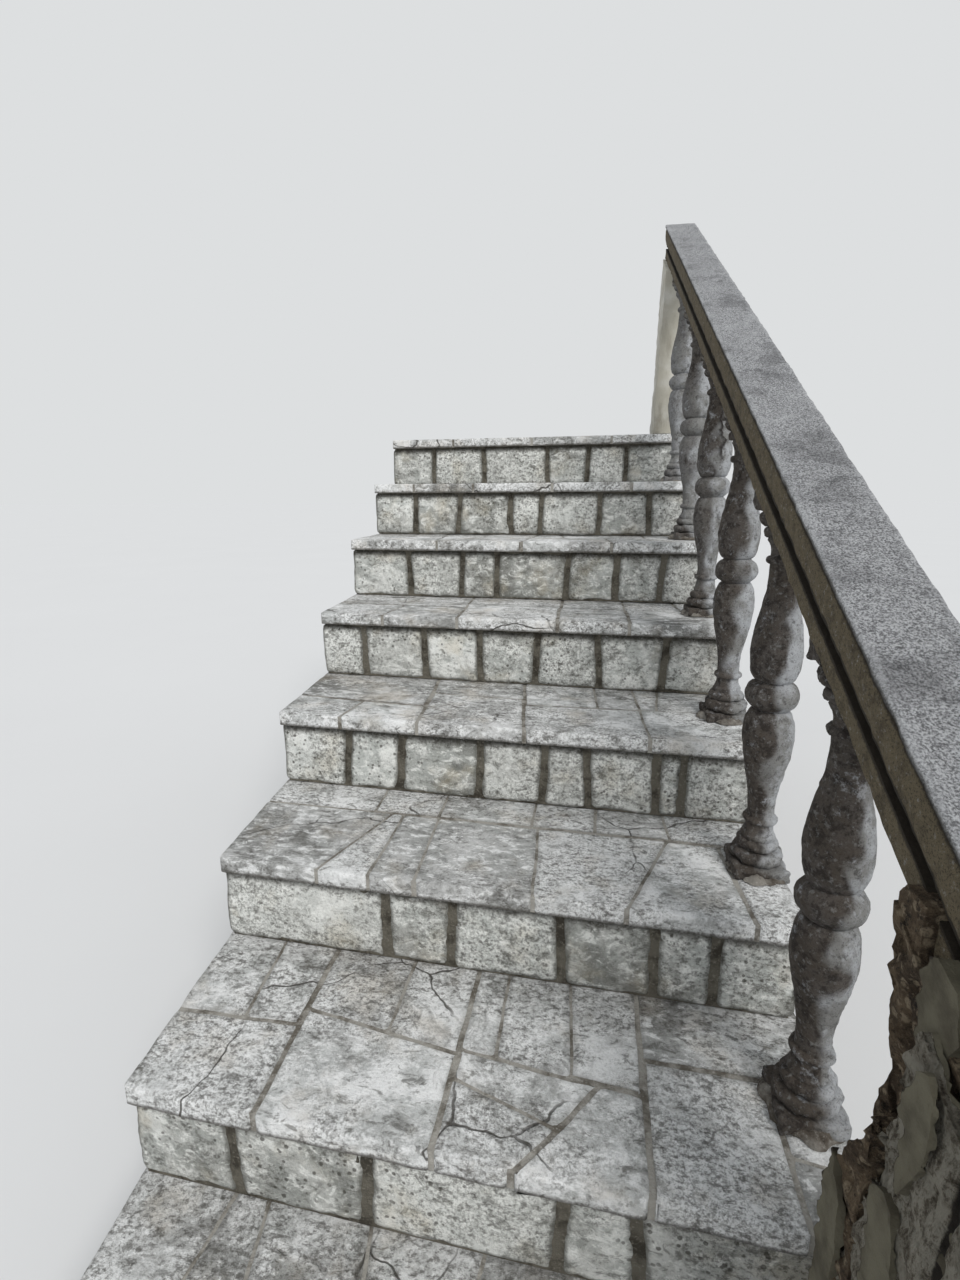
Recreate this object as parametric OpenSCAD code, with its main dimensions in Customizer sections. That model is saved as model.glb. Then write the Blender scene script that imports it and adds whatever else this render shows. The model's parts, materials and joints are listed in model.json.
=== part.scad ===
/* [Flight] */
// Height from one step to the next
riser_h = 189; // [170:1:205]
// Going, from one nosing to the next
going = 336; // [310:1:370]
// Width of the lowest step
flight_w = 1055; // [800:5:1400]
// Angle by which the far side opens out as the flight climbs
far_splay = 3.4; // [0:0.1:6]
// Angle by which the nosings run out of square with the balustrade
nosing_skew = 3.6; // [0:0.1:6]
// Depth of the top landing behind its nosing
landing_d = 600; // [450:10:1200]
// Thickness of the flagged treads
tread_t = 35; // [25:1:50]
// Overhang of each nosing past the riser face
nosing_over = 10; // [4:1:25]
// Thickness of the stone risers
riser_t = 60; // [40:1:90]
// Distance from the balusters' centre line to the end of the treads
edge_x = 46; // [40:1:70]
// Overhang of the tread ends past the side wall
side_over = 8; // [4:1:20]
// Thickness of the wall under the balustrade
side_t = 150; // [120:5:220]

/* [Balusters] */
// Distance from a nosing back to the baluster's centre
baluster_set = 185; // [170:1:200]
// Height of a whole baluster, from base to cap
baluster_h = 697; // [660:1:740]
// Side of the square block at each end
plinth_w = 98; // [90:1:104]
// Height of the square block at each end
plinth_h = 20; // [12:1:30]
// Radius of the larger base roll
big_roll_r = 47; // [43:0.5:48]
// Height of the larger base roll
big_roll_h = 26; // [20:1:30]
// Radius of the smaller base roll
small_roll_r = 39; // [34:0.5:42]
// Height of the smaller base roll
small_roll_h = 20; // [14:1:24]
// Step in from the smaller roll to the hollow above it
hollow_in = 6; // [3:0.5:8]
// Height of the hollow
hollow_h = 32; // [24:1:40]
// Radius of the neck ring
bead_r = 31; // [28:0.5:34]
// Height of the neck ring
bead_h = 14; // [10:1:18]
// Radius of the neck
neck_r = 24; // [20:0.5:27]
// Height from the neck ring to where the vase begins to swell
neck_h = 14; // [6:1:22]
// Largest radius of each vase
belly_r = 44; // [38:0.5:48]
// Height of the shoulder over the vase's widest place
shoulder_h = 48; // [36:1:60]
// Radius where each vase meets the middle ring
waist_r = 29; // [25:0.5:33]
// Radius of the middle ring
ring_r = 46; // [42:0.5:50]
// Height of the middle ring
ring_h = 54; // [44:1:60]

/* [Handrail] */
// Height of the rail's top above a tread, at a baluster's centre
rail_top = 803; // [780:1:830]
// Width of the rail
rail_w = 110; // [100:1:130]
// Depth of the rail, square to its slope
rail_t = 105; // [95:1:115]
// Width of the worn top arrises
arris_w = 2; // [1:0.5:4]
// Height of the square fillet under the top edge
fillet_h = 8; // [5:1:12]
// Setback of the round moulding under the fillet
quirk_in = 1; // [0.5:0.5:3]
// Height of the round upper moulding
round_h = 53; // [40:1:60]
// Bulge of the round upper moulding
round_bulge = 5; // [2:0.5:8]
// Height of the groove
groove_h = 12; // [6:1:15]
// Depth of the groove
groove_d = 20; // [12:1:26]
// Setback of the lower band from the rail's side
band_in = 5; // [3:1:10]
// Width of the worn lower arrises
low_arris_w = 3; // [1:0.5:5]
// Length of rail past the lower pier
rail_over = 30; // [10:1:60]

/* [Upper post] */
// Width of the post at its foot
post_foot_w = 121; // [110:1:150]
// Width of the post at its head
post_head_w = 104; // [96:1:140]
// Depth of the post along the rail
post_d = 140; // [110:1:180]
// Distance from the top nosing back to the post
post_set = 12; // [0:1:40]

/* [Lower pier] */
// Width of the pier over its render
pier_w = 180; // [160:2:220]
// Depth of the pier along the rail
pier_d = 240; // [200:2:280]
// Thickness of the render
render_t = 25; // [18:1:32]
// Height at which the render's broken edge meets the pier's up-stair face
break_z = 500; // [460:5:560]
// Distance from the up-stair face to the broken edge under the rail
break_in = 98; // [80:2:130]
// How soon the broken edge runs in from the face: lower is sooner
break_bend = 0.35; // [0.3:0.05:0.5]
// Depth of the teeth along the broken edge
break_jag = 9; // [4:1:14]
// Depth to which the bare core is worn
core_wear = 16; // [6:1:22]

/* [Hidden] */

levels = 8;
past = 1;
slope = riser_h / going;
pitch = atan(slope);
// The lowest nosing stands as far in front of the riser as the pier's face is flush with it
nosing_1 = -pier_d / 2 - nosing_over;
back_y = nosing_1 + (levels - 1) * going + landing_d;
wall_x = edge_x - side_over;
// Rise of the rail's top plane above the ground at the origin
rail_z0 = riser_h + rail_top - slope * (nosing_1 + baluster_set);
rail_drop = rail_t / cos(pitch);
rail_foot = -pier_d / 2 - rail_over;
rail_head = nosing_y(levels) + post_set + post_d;
arc_steps = 8;
break_teeth = 9;
wear_waves = 3;

function nosing_y(level) = nosing_1 + (level - 1) * going;
function face_y(level) = nosing_y(level) + nosing_over;
function back_of_riser(level) = face_y(level) + riser_t;
function tread_z(level) = level * riser_h;
function under_rail(y) = rail_z0 - rail_drop + slope * y;

// Distance from the tread ends to the far side, along the nosing line that starts at y
function far_d(y) =
  (flight_w + (y - nosing_1) * tan(far_splay)) / (1 - tan(nosing_skew) * tan(far_splay));
// Point on that nosing line, at a distance in from the tread ends
function line_pt(y, d) = [edge_x - d, y + d * tan(nosing_skew)];
function far_back_x() = edge_x - flight_w - (back_y - nosing_1) * tan(far_splay);

// Plan of a step's course between two nosing lines
module course_plan(y_front, y_back, end_d) {
  polygon([
    line_pt(y_front, end_d), line_pt(y_back, end_d),
    line_pt(y_back, far_d(y_back)), line_pt(y_front, far_d(y_front))
  ]);
}

// Plan from a nosing line to the back of the landing
module plan_to_back(y_front, end_d) {
  polygon([
    line_pt(y_front, end_d), [edge_x - end_d, back_y],
    [far_back_x(), back_y], line_pt(y_front, far_d(y_front))
  ]);
}

// Space that the pier takes at the end of the lowest step
module pier_place() {
  translate([-pier_w / 2, -pier_d, -past])
    cube([pier_w / 2 + edge_x + past, pier_d + pier_d / 2, tread_z(1) + 2 * past]);
}

// Strip of the flight that is the side wall
module side_strip() {
  translate([wall_x - side_t, pier_d / 2, -past])
    cube([side_t + past, back_y, tread_z(levels) + past]);
}

module stepped_mass() {
  for (k = [1 : levels])
    linear_extrude(height = tread_z(k) - tread_t)
      plan_to_back(back_of_riser(k), side_over);
}

module flight_core() {
  color("gray")
    difference() {
      stepped_mass();
      side_strip();
      pier_place();
    }
}

module side_wall() {
  color("darkgray")
    intersection() {
      stepped_mass();
      side_strip();
    }
}

module tread(k) {
  color("gainsboro")
    difference() {
      translate([0, 0, tread_z(k) - tread_t])
        linear_extrude(height = tread_t)
          course_plan(nosing_y(k), back_of_riser(k + 1), 0);
      if (k == 1) pier_place();
    }
}

module landing() {
  color("gainsboro")
    translate([0, 0, tread_z(levels) - tread_t])
      linear_extrude(height = tread_t)
        plan_to_back(nosing_y(levels), 0);
}

module riser(k) {
  color("silver")
    difference() {
      translate([0, 0, tread_z(k - 1)])
        linear_extrude(height = riser_h - tread_t)
          course_plan(face_y(k), back_of_riser(k), side_over);
      if (k == 1) pier_place();
    }
}

// Everything below the rail's underside, as wide as the part
module below_rail() {
  reach = 4 * flight_w;
  translate([0, 0, under_rail(0)])
    rotate([pitch, 0, 0])
      translate([-reach / 2, -reach, -reach])
        cube([reach, 2 * reach, reach]);
}

// Points of a half-round roll between two heights, with its outermost radius
function roll_pts(z_low, z_high, out_r) =
  let (half = (z_high - z_low) / 2)
    [for (i = [0 : arc_steps])
      let (a = -90 + 180 * i / arc_steps)
        [out_r - half + half * cos(a), z_low + half + half * sin(a)]];

// Lower half of a baluster's outline, from the block up to the middle ring
function half_outline() =
  let (
    mid = baluster_h / 2,
    big_top = plinth_h + big_roll_h,
    small_top = big_top + small_roll_h,
    bead_low = small_top + hollow_h,
    bead_top = bead_low + bead_h,
    neck_z = bead_top + neck_h,
    ring_half = ring_h / 2,
    waist_z = mid - ring_half,
    belly_z = waist_z - shoulder_h
  )
    concat(
      roll_pts(plinth_h, big_top, big_roll_r),
      roll_pts(big_top, small_top, small_roll_r),
      // hollow from the small roll up to the neck ring
      [for (i = [0 : arc_steps])
        let (t = i / arc_steps)
          [neck_r + (small_roll_r - hollow_in - neck_r) * pow(1 - t, 2), small_top + hollow_h * t]],
      roll_pts(bead_low, bead_top, bead_r),
      // long curve of the vase
      [for (i = [0 : 2 * arc_steps])
        let (t = i / (2 * arc_steps))
          [neck_r + (belly_r - neck_r) * (1 - cos(180 * t)) / 2, neck_z + (belly_z - neck_z) * t]],
      // shoulder of the vase
      [for (i = [1 : arc_steps])
        let (a = 90 * i / arc_steps)
          [waist_r + (belly_r - waist_r) * cos(a), belly_z + shoulder_h * sin(a)]],
      // lower half of the middle ring
      [for (i = [0 : arc_steps])
        let (a = -60 + 60 * i / arc_steps)
          [ring_r - ring_half + ring_half * cos(a), mid + ring_half * sin(a)]]
    );

module turned_body() {
  low = half_outline();
  count = len(low);
  rotate_extrude($fn = 64)
    polygon(concat(
      [[0, plinth_h]],
      low,
      [for (i = [count - 2 : -1 : 0]) [low[i][0], baluster_h - low[i][1]]],
      [[0, baluster_h - plinth_h]]
    ));
}

module end_block(z_low, z_high) {
  translate([-plinth_w / 2, -plinth_w / 2, z_low])
    cube([plinth_w, plinth_w, z_high - z_low]);
}

module baluster(k) {
  color("rosybrown")
    intersection() {
      translate([0, nosing_y(k) + baluster_set, tread_z(k)])
        union() {
          end_block(0, plinth_h);
          turned_body();
          end_block(baluster_h - plinth_h, baluster_h + plinth_w);
        }
      below_rail();
    }
}

// Points down one side of the rail's section, from its top edge
function rail_side() =
  let (
    edge = rail_w / 2,
    band = edge - band_in,
    quirk = edge - round_bulge - quirk_in,
    radius = (round_h * round_h / 4 + round_bulge * round_bulge) / (2 * round_bulge),
    half_angle = asin(round_h / 2 / radius),
    round_low = fillet_h + round_h,
    groove_low = round_low + groove_h
  )
    concat(
      [[edge - arris_w, 0], [edge, -arris_w], [edge, -fillet_h]],
      [for (i = [0 : arc_steps])
        let (a = half_angle - 2 * half_angle * i / arc_steps)
          [quirk + radius * (cos(a) - cos(half_angle)), -fillet_h - round_h / 2 + radius * sin(a)]],
      [[edge - groove_d, -round_low], [edge - groove_d, -groove_low], [band, -groove_low]],
      [[band, -rail_t + low_arris_w], [band - low_arris_w, -rail_t]]
    );

module handrail() {
  side = rail_side();
  last = len(side) - 1;
  length = rail_head - rail_foot;
  color("darkkhaki")
    intersection() {
      translate([0, 0, rail_z0])
        rotate([pitch, 0, 0])
          translate([0, 2 * length, 0])
            rotate([90, 0, 0])
              linear_extrude(height = 4 * length)
                polygon(concat(side, [for (i = [last : -1 : 0]) [-side[i][0], side[i][1]]]));
      translate([-rail_w, rail_foot, 0])
        cube([2 * rail_w, length, under_rail(rail_head) + 3 * rail_t]);
    }
}

module upper_post() {
  front = nosing_y(levels) + post_set;
  foot = tread_z(levels);
  color("beige")
    intersection() {
      translate([0, front + post_d, 0])
        rotate([90, 0, 0])
          linear_extrude(height = post_d)
            polygon([
              [edge_x, foot], [edge_x, under_rail(rail_head)],
              [edge_x - post_head_w, under_rail(rail_head)], [edge_x - post_foot_w, foot]
            ]);
      below_rail();
    }
}

// Bare masonry of the pier, worn in waves on both sides above the lowest tread
// Height above which the up-stair face has no render left
function bare_z() = break_z + (under_rail(pier_d / 2) - break_z) * 2 / break_teeth;

// Masonry with worn sides, between two distances along the rail
module worn_wall(from_y, to_y) {
  half_w = pier_w / 2 - render_t;
  low = tread_z(1);
  high = under_rail(0);
  steps = 4 * wear_waves;
  wear = [for (i = [0 : steps]) core_wear * (1 - cos(wear_waves * 360 * i / steps)) / 2];
  worn = [for (i = [0 : steps]) [half_w - wear[i], low + (high - low) * i / steps]];
  translate([0, to_y, 0])
    rotate([90, 0, 0])
      linear_extrude(height = to_y - from_y)
        polygon(concat(
          [[half_w, 0]],
          worn,
          [[half_w, high + pier_d], [-half_w, high + pier_d]],
          [for (i = [steps : -1 : 0]) [-worn[i][0], worn[i][1]]],
          [[-half_w, 0]]
        ));
}

// The masonry stands out to the pier's face where the render has gone
module pier_core() {
  core_d = pier_d / 2 - render_t;
  color("sienna")
    intersection() {
      union() {
        worn_wall(-core_d, core_d);
        intersection() {
          worn_wall(core_d - past, pier_d / 2);
          translate([-pier_w, 0, bare_z()])
            cube([2 * pier_w, pier_d, 2 * rail_top]);
        }
      }
      below_rail();
    }
}

// What has broken away from the render: all that lies up-stair of a toothed edge
module broken_away() {
  top = under_rail(pier_d / 2);
  edge = [for (i = [0 : break_teeth])
    let (t = i / break_teeth)
      [
        pier_d / 2 - break_in * pow(t, break_bend) + (i % 2 == 0 ? 0 : break_jag),
        break_z + (top - break_z) * t
      ]];
  translate([-pier_w, 0, 0])
    rotate([90, 0, 90])
      linear_extrude(height = 2 * pier_w)
        polygon(concat([[pier_d, break_z]], edge, [[pier_d, top]]));
}

module pier_render() {
  half_w = pier_w / 2;
  half_d = pier_d / 2;
  top = under_rail(half_d);
  color("darkseagreen")
    difference() {
      intersection() {
        translate([-half_w, -half_d, 0])
          cube([pier_w, pier_d, top]);
        below_rail();
      }
      translate([-half_w + render_t, -half_d + render_t, -past])
        cube([pier_w - 2 * render_t, pier_d - 2 * render_t, top + 2 * past]);
      broken_away();
    }
}

flight_core();
side_wall();
tread(1);  // tread_1
tread(2);  // tread_2
tread(3);  // tread_3
tread(4);  // tread_4
tread(5);  // tread_5
tread(6);  // tread_6
tread(7);  // tread_7
landing();
riser(1);  // riser_1
riser(2);  // riser_2
riser(3);  // riser_3
riser(4);  // riser_4
riser(5);  // riser_5
riser(6);  // riser_6
riser(7);  // riser_7
riser(8);  // riser_8
baluster(2);  // baluster_1
baluster(3);  // baluster_2
baluster(4);  // baluster_3
baluster(5);  // baluster_4
baluster(6);  // baluster_5
baluster(7);  // baluster_6
handrail();
upper_post();
pier_core();
pier_render();
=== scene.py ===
"""Looks of a stone stair balustrade and its flight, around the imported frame. Lengths are in metres."""
import json
import math
import random

import bpy
from mathutils import Matrix, Vector, noise

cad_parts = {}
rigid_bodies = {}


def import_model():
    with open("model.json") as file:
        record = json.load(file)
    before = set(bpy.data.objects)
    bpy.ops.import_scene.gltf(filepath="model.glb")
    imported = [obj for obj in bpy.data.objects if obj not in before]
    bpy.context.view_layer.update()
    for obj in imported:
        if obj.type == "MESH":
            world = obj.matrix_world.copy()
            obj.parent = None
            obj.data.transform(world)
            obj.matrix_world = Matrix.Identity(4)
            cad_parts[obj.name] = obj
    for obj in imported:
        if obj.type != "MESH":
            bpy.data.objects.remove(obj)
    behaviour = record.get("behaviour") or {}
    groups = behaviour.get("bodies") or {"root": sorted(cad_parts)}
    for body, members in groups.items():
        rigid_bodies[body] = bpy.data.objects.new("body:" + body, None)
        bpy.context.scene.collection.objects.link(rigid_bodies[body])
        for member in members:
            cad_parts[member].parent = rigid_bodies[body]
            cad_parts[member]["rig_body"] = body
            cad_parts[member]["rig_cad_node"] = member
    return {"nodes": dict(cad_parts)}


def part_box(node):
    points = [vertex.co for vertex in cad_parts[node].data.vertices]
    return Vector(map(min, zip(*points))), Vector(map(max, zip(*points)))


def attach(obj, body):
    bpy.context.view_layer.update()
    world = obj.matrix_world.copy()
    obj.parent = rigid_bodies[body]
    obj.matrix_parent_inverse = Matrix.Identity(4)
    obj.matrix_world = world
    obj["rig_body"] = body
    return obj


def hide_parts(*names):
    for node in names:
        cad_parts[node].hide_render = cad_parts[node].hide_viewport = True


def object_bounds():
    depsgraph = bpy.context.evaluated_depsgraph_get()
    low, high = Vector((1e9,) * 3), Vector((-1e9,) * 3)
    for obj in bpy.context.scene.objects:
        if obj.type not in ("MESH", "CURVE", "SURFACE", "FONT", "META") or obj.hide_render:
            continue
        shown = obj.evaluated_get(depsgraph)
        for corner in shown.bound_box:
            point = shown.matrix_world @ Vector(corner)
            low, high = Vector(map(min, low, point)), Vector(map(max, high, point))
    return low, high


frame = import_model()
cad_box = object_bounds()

# Sizes that the frame gives
STEPS = 8
pier_lo, pier_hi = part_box("pier_render")
core_lo, core_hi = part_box("pier_core")
rail_lo, rail_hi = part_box("handrail")
post_lo, post_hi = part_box("upper_post")
landing_lo, landing_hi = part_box("landing")
tread_boxes = {k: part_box(f"tread_{k}") for k in range(1, STEPS)}
riser_boxes = {k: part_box(f"riser_{k}") for k in range(1, STEPS + 1)}
baluster_boxes = {k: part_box(f"baluster_{k}") for k in range(1, STEPS - 1)}

EDGE_X = tread_boxes[2][1].x
WALL_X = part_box("side_wall")[1].x
TREAD_T = tread_boxes[1][1].z - tread_boxes[1][0].z
RISE = tread_boxes[2][1].z - tread_boxes[1][1].z
GOING = tread_boxes[3][0].y - tread_boxes[2][0].y
BACK_Y = landing_hi.y
SLOPE = RISE / GOING
PITCH = math.atan(SLOPE)
NOSING_1 = tread_boxes[2][0].y - GOING
RISER_T = 0.060
NOSING_OVER = 0.010
SKEW = math.tan(math.radians(3.6))
SPLAY = math.tan(math.radians(3.4))
FLIGHT_W = 1.055

# Sizes of the stonework
FLAG_JOINT = 0.004
FLAG_ROUND = 0.004
BLOCK_JOINT = 0.013
BLOCK_ROUND = 0.007
BLOCK_DEPTH = 0.040
RUBBLE_JOINT = 0.014
RUBBLE_ROUND = 0.012
RUBBLE_DEPTH = 0.050
MORTAR_IN = 0.009
WALL_MORTAR_IN = 0.020
NEAR_LEVELS = (1, 2, 3, 4)
NEAR_GRID = 0.013
FAR_GRID = 0.020


def nosing_y(level):
    return NOSING_1 + (level - 1) * GOING


def level_z(level):
    return level * RISE


def far_u(y):
    """Distance from the tread ends to the far side, on the nosing line that starts at y."""
    return (FLIGHT_W + (y - NOSING_1) * SPLAY) / (1 - SKEW * SPLAY)


# Hand tools


def only(piece):
    bpy.ops.object.mode_set(mode="OBJECT") if bpy.context.mode != "OBJECT" else None
    bpy.ops.object.select_all(action="DESELECT")
    piece.select_set(True)
    bpy.context.view_layer.objects.active = piece
    return piece


def edit(piece, select="SELECT"):
    only(piece)
    bpy.ops.object.mode_set(mode="EDIT")
    bpy.ops.mesh.select_mode(type="FACE")
    bpy.ops.mesh.select_all(action=select)


def leave():
    bpy.ops.object.mode_set(mode="OBJECT")


def named(name):
    piece = bpy.context.object
    piece.name = name
    piece.data.name = name
    return piece


def use(piece, kind, **settings):
    """Adds a modifier and applies it."""
    only(piece)
    modifier = piece.modifiers.new(kind.lower(), kind)
    for key, value in settings.items():
        setattr(modifier, key, value)
    bpy.ops.object.modifier_apply(modifier=modifier.name)


def outward(piece):
    edit(piece)
    bpy.ops.mesh.normals_make_consistent(inside=False)
    leave()


def soften(piece, degrees=35):
    only(piece)
    bpy.ops.object.shade_smooth_by_angle(angle=math.radians(degrees))


def settle(piece, material, slot, *nodes):
    """Gives a finished piece its material, attaches it to the root body and hides the CAD nodes that it stands for.
    The slot is not used.
    """
    hold_in(piece)
    piece.data.materials.clear()
    piece.data.materials.append(material)
    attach(piece, "root")
    if nodes:
        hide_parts(*nodes)
    return piece


def copy_of(node, name):
    """A merged copy of a CAD node, with its flat faces whole again."""
    piece = frame["nodes"][node].copy()
    piece.data = piece.data.copy()
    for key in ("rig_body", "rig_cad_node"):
        del piece[key]
    piece.parent = None
    piece.hide_render = piece.hide_viewport = False
    piece.name = piece.data.name = name
    bpy.context.scene.collection.objects.link(piece)
    edit(piece)
    bpy.ops.mesh.remove_doubles(threshold=0.00002)
    bpy.ops.mesh.dissolve_limited(angle_limit=math.radians(0.5))
    leave()
    return piece


def slice_up(piece, normal, step):
    """Cuts a mesh through at even steps along a direction, so that it can be shaped."""
    normal = Vector(normal).normalized()
    along = [normal.dot(v.co) for v in piece.data.vertices]
    low, high = min(along), max(along)
    count = max(1, round((high - low) / step))
    edit(piece)
    for i in range(1, count):
        bpy.ops.mesh.select_all(action="SELECT")
        place = normal * (low + (high - low) * i / count)
        bpy.ops.mesh.bisect(plane_co=place, plane_no=normal, use_fill=False)
    bpy.ops.mesh.select_all(action="SELECT")
    bpy.ops.mesh.remove_doubles(threshold=min(step * 0.12, 0.0006))
    leave()


def roughen(piece, amount, size, seed=0, octaves=3, weight=None, sink=0.0):
    """Moves each point along its normal by noise of a given size. A weight of 0 leaves a point alone.

    A sink of 1 moves all points inward only.
    """
    mesh = piece.data
    shift = Vector((seed * 7.31, seed * 3.17, seed * 5.73))
    moves = []
    for vertex in mesh.vertices:
        value = noise.fractal(vertex.co / size + shift, 1.0, 2.0, octaves) - sink
        share = weight(vertex.co) if weight else 1
        moves.append(vertex.normal * (value * amount * share))
    for vertex, move in zip(mesh.vertices, moves):
        vertex.co += move
    mesh.update()


def paint(piece, attribute, value_at, domain="POINT"):
    """Writes a mask on a piece: value_at takes a point of the mesh."""
    layer = piece.data.attributes.new(attribute, "FLOAT", domain)
    for i, item in enumerate(piece.data.vertices):
        layer.data[i].value = value_at(item.co)


def hold_in(piece):
    """Brings back any point that has strayed past the outside of the whole frame."""
    lo, hi = cad_box
    for vertex in piece.data.vertices:
        vertex.co = Vector(min(max(c, a), b) for c, a, b in zip(vertex.co, lo, hi))
    piece.data.update()


def step_between(low, high, value):
    share = min(1.0, max(0.0, (value - low) / (high - low)))
    return share * share * (3 - 2 * share)


# Stones laid in a panel


def holds(face, vertices, point):
    """True if a flat convex face in the XY plane holds the point."""
    ring = [vertices[i].co for i in face.vertices]
    sides = []
    for a, b in zip(ring, ring[1:] + ring[:1]):
        sides.append((b.x - a.x) * (point[1] - a.y) - (b.y - a.y) * (point[0] - a.x))
    return all(s > 0 for s in sides) or all(s < 0 for s in sides)


def cut_stones(piece, cuts):
    """Each cut is two points: it splits the stones that lie on the line between them, and no others."""
    mesh = piece.data
    for (ax, ay), (bx, by) in cuts:
        samples = [(ax + (bx - ax) * t, ay + (by - ay) * t) for t in (0.04, 0.2, 0.35, 0.5, 0.65, 0.8, 0.96)]
        crossed = [any(holds(f, mesh.vertices, s) for s in samples) for f in mesh.polygons]
        edit(piece, "DESELECT")
        leave()
        for face, hit in zip(mesh.polygons, crossed):
            face.select = hit
        if not any(crossed):
            continue
        bpy.ops.object.mode_set(mode="EDIT")
        bpy.ops.mesh.bisect(plane_co=(ax, ay, 0), plane_no=(by - ay, ax - bx, 0), use_fill=False)
        leave()
        mesh = piece.data


def number_stones(piece):
    """Numbers the stones, parts them and keeps each one's outline, which is convex."""
    layer = piece.data.attributes.new("stone", "INT", "FACE")
    rings = []
    for face in piece.data.polygons:
        layer.data[face.index].value = face.index
        rings.append([piece.data.vertices[i].co.to_2d() for i in face.vertices])
    edit(piece)
    bpy.ops.mesh.edge_split(type="EDGE")
    leave()
    return rings


def edges_of(ring):
    """Each side of an outline: a point on it and the direction that leads out of the stone."""
    mid = sum(ring, Vector((0, 0))) / len(ring)
    sides = []
    for a, b in zip(ring, ring[1:] + ring[:1]):
        if (b - a).length > 0.002:
            out = Vector((b.y - a.y, a.x - b.x)).normalized()
            sides.append((a, out if out.dot(a - mid) > 0 else -out))
    return sides


def dress_stone(piece, number, sides, joint, rounding):
    """Cuts one stone back from its joints and marks where its round edge begins."""
    edit(piece, "DESELECT")
    leave()
    stone = piece.data.attributes["stone"].data
    for face in piece.data.polygons:
        face.select = stone[face.index].value == number
    bpy.ops.object.mode_set(mode="EDIT")
    bpy.ops.mesh.hide(unselected=True)
    for inward, clear in ((joint / 2, True), (joint / 2 + rounding * 0.3, False), (joint / 2 + rounding, False)):
        for at, out in sides:
            bpy.ops.mesh.select_all(action="SELECT")
            plane_at = (*(at - out * inward), 0)
            bpy.ops.mesh.bisect(plane_co=plane_at, plane_no=(*out, 0), use_fill=False, clear_outer=clear)
    bpy.ops.mesh.reveal(select=False)
    leave()


def stone_panel(name, outline, cuts, joint, depth, rounding, grid, seed, corner=0.006, wobble=0.004, keep=None,
                relief=0.0015, relief_size=0.05, bulge=0.0, uneven=0.0015, side_steps=0):
    """Stones laid in the XY plane, their faces up to z = 0, with open joints between them.

    outline holds the four corners, cuts the joint lines, and keep says which stones are part of the panel.
    """
    rng = random.Random(seed)
    bpy.ops.object.select_all(action="DESELECT")
    bpy.ops.mesh.primitive_plane_add(size=1)
    piece = named(name)
    centre = sum((Vector(p) for p in outline), Vector((0, 0))) / 4
    for vertex, corner_at in zip(piece.data.vertices, (outline[0], outline[1], outline[3], outline[2])):
        out = Vector(corner_at) - centre
        vertex.co.x = corner_at[0] + math.copysign(joint / 2, out.x)
        vertex.co.y = corner_at[1] + math.copysign(joint / 2, out.y)
    cut_stones(piece, cuts)
    if keep:
        edit(piece, "DESELECT")
        leave()
        for face in piece.data.polygons:
            face.select = not keep(face.center)
        bpy.ops.object.mode_set(mode="EDIT")
        bpy.ops.mesh.delete(type="FACE")
        leave()
    sides = [edges_of(ring) for ring in number_stones(piece)]
    for number, stone_sides in enumerate(sides):
        dress_stone(piece, number, stone_sides, joint, rounding)
    slice_up(piece, (1, 0, 0), grid)
    slice_up(piece, (0, 1, 0), grid)
    shape_stones(piece, sides, rng, joint, rounding, corner, relief, relief_size, bulge, uneven, wobble, seed)
    edit(piece)
    bpy.ops.mesh.extrude_region_move(TRANSFORM_OT_translate={"value": (0, 0, -depth)})
    bpy.ops.transform.resize(value=(1, 1, 0))
    bpy.ops.mesh.dissolve_faces()
    leave()
    if side_steps:
        slice_up(piece, (0, 0, 1), depth / side_steps)
    outward(piece)
    return piece


def shape_stones(piece, sides, rng, joint, rounding, corner, relief, relief_size, bulge, uneven, wobble, seed):
    """Gives each stone its own height, tilt, round edges and corners, worn face and uneven outline."""
    mesh = piece.data
    stone = [d.value for d in mesh.attributes["stone"].data]
    members = {}
    for face in mesh.polygons:
        members.setdefault(stone[face.index], set()).update(face.vertices)
    tone = mesh.attributes.new("tone", "FLOAT", "POINT")
    rim = mesh.attributes.new("rim", "FLOAT", "POINT")
    for number in sorted(members):
        points = {i: mesh.vertices[i].co.to_2d() for i in members[number]}
        mid = sum(points.values(), Vector((0, 0))) / len(points)
        reach = max((p - mid).length for p in points.values()) + 0.001
        drop, shade = rng.uniform(0, uneven), rng.random()
        tilt = Vector((rng.uniform(-uneven, uneven), rng.uniform(-uneven, uneven))) / reach
        for i, flat in points.items():
            co = mesh.vertices[i].co
            depths = sorted(((at - flat).dot(out) - joint / 2, out) for at, out in sides[number])
            (first, out_1), (second, out_2) = depths[0], depths[1]
            first, second = max(0.0, first), max(0.0, second)
            near = 1 - min(1, first / rounding)
            own = Vector((flat.x, flat.y, seed + number * 0.37))
            shared = Vector((flat.x, flat.y, seed))
            height = relief * (noise.fractal(own / relief_size, 1.0, 2.0, 4) - 1)
            height -= rounding * (1 - math.sqrt(1 - 0.96 * near * near))
            height -= bulge * (1 - min(1, first / (reach * 0.7))) ** 2
            co.z = min(0, height - drop + tilt.dot(flat - mid) * 0.7 - uneven * 0.5)
            pull = corner * 0.45 * max(0, 1 - first / corner) * max(0, 1 - second / corner)
            shift = Vector((noise.noise(shared * 11), noise.noise(shared * 11 + Vector((9, 0, 0)))))
            fine = Vector((noise.noise(own * 45), noise.noise(own * 45 + Vector((5, 0, 0)))))
            flat -= (out_1 + out_2) * pull
            flat += (shift * 0.7 + fine * 0.3) * wobble
            co.x, co.y = flat
            tone.data[i].value = shade
            rim.data[i].value = 1 - min(1, first / 0.02)
    mesh.update()


def place(piece, across, up, out, origin):
    """Moves a panel from its own plane to its place: across, up and out are where its X, Y and Z go."""
    matrix = Matrix((across, up, out)).transposed().to_4x4()
    matrix.translation = Vector(origin)
    piece.data.transform(matrix)
    outward(piece)
    soften(piece)


# Materials


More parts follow.
